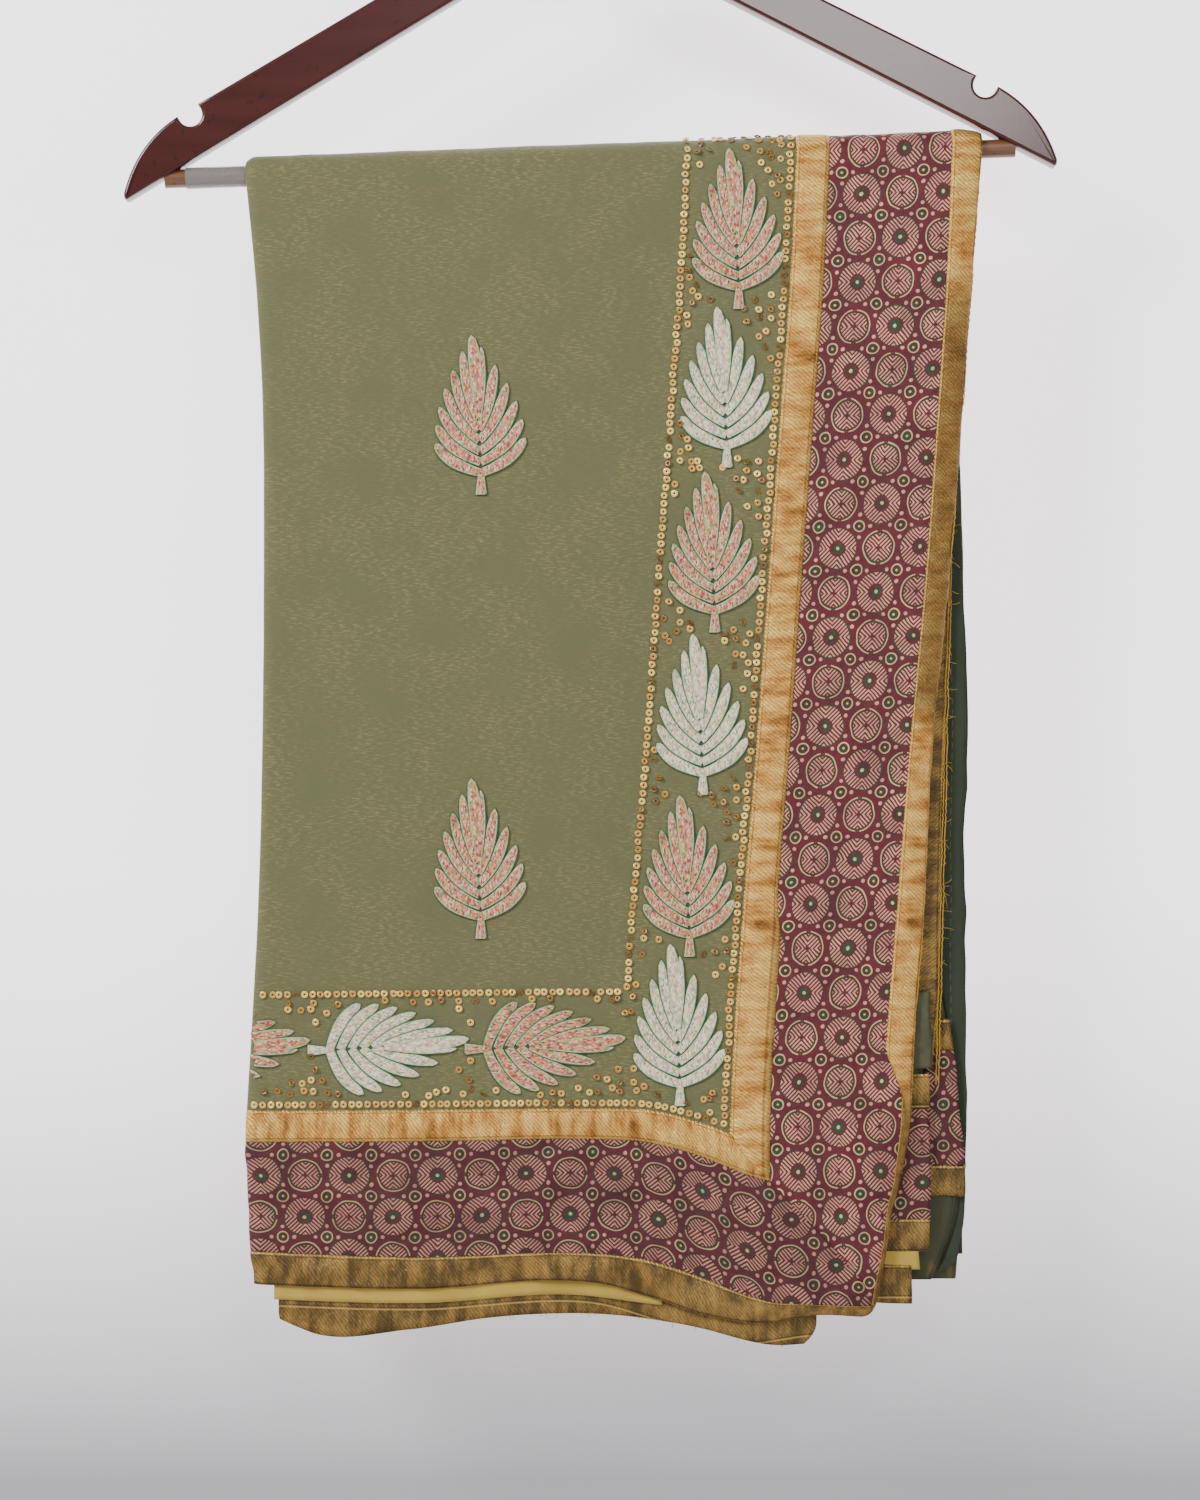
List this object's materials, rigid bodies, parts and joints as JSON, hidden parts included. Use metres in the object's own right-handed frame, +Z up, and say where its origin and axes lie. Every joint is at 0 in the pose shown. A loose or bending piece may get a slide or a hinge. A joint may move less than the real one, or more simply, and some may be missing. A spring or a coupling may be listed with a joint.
{
  "type": "folded saree on wooden hanger",
  "caption": "Olive crinkled saree with embroidered leaves and a maroon and gold border, folded and hung over the trouser bar of a wooden hanger.",
  "frame": {"origin": "inside top of the hook's crook, where a rail bears", "axes": "+Z up, +X to the right as seen from the front, -Y towards the viewer; the hanger's plate lies along X"},
  "size_m": [0.4447, 0.0493, 0.7784],
  "materials": {
    "olive_cloth": "crinkled georgette with short golden flecks",
    "rear_cloth": "dark wrong side of the cloth",
    "brocade": "maroon brocade with cream and pink woven medallions",
    "gold_ribbon": "twill woven metallic gold ribbon",
    "lining": "thin yellow backing",
    "leaf_pink": "machine embroidery in mixed pink thread",
    "leaf_white": "machine embroidery in silvery white thread",
    "varnished_wood": "glossy red-brown varnish",
    "dowel_wood": "satin brown dowel",
    "clear_sleeve": "clear ribbed plastic",
    "hook_steel": "bright plated wire"
  },
  "bodies": {
    "root": {"hanger_arm_left": "varnished_wood", "hanger_arm_right": "varnished_wood", "trouser_bar": "dowel_wood", "bar_sleeve": "clear_sleeve", "hook_ferrule": "hook_steel", "hook": "hook_steel", "folded_layers": "rear_cloth", "body_cloth": "olive_cloth", "end_brocade": "brocade", "end_inner_ribbon": "gold_ribbon", "end_outer_ribbon": "gold_ribbon", "hem_brocade_front": "brocade", "hem_inner_ribbon_front": "gold_ribbon", "hem_outer_ribbon_front": "gold_ribbon", "hem_brocade_back": "brocade", "hem_inner_ribbon_back": "gold_ribbon", "hem_outer_ribbon_back": "gold_ribbon", "second_hem_ribbon_front": "gold_ribbon", "lining_strip_front": "lining", "second_hem_ribbon_back": "gold_ribbon", "lining_strip_back": "lining", "second_layer_front": "rear_cloth", "second_layer_back": "rear_cloth", "corner_a_inner_ribbon": "gold_ribbon", "corner_a_brocade": "brocade", "corner_a_outer_ribbon": "gold_ribbon", "corner_b_inner_ribbon": "gold_ribbon", "corner_b_brocade": "brocade", "corner_b_outer_ribbon": "gold_ribbon", "corner_lining": "lining", "corner_c_ribbon": "gold_ribbon", "leaf_end_front_1": "leaf_pink", "leaf_end_front_2": "leaf_white", "leaf_end_front_3": "leaf_pink", "leaf_end_front_4": "leaf_white", "leaf_end_front_5": "leaf_pink", "leaf_end_front_6": "leaf_white", "leaf_end_back_1": "leaf_white", "leaf_end_back_2": "leaf_pink", "leaf_end_back_3": "leaf_white", "leaf_end_back_4": "leaf_pink", "leaf_end_back_5": "leaf_white", "leaf_end_back_6": "leaf_pink", "leaf_hem_front_1": "leaf_white", "leaf_hem_front_2": "leaf_pink", "leaf_hem_front_3": "leaf_pink", "leaf_hem_back_1": "leaf_white", "leaf_hem_back_2": "leaf_pink", "leaf_hem_back_3": "leaf_pink", "leaf_field_front_1": "leaf_pink", "leaf_field_front_2": "leaf_pink", "leaf_field_back_1": "leaf_pink", "leaf_field_back_2": "leaf_pink"}
  },
  "joints": []
}
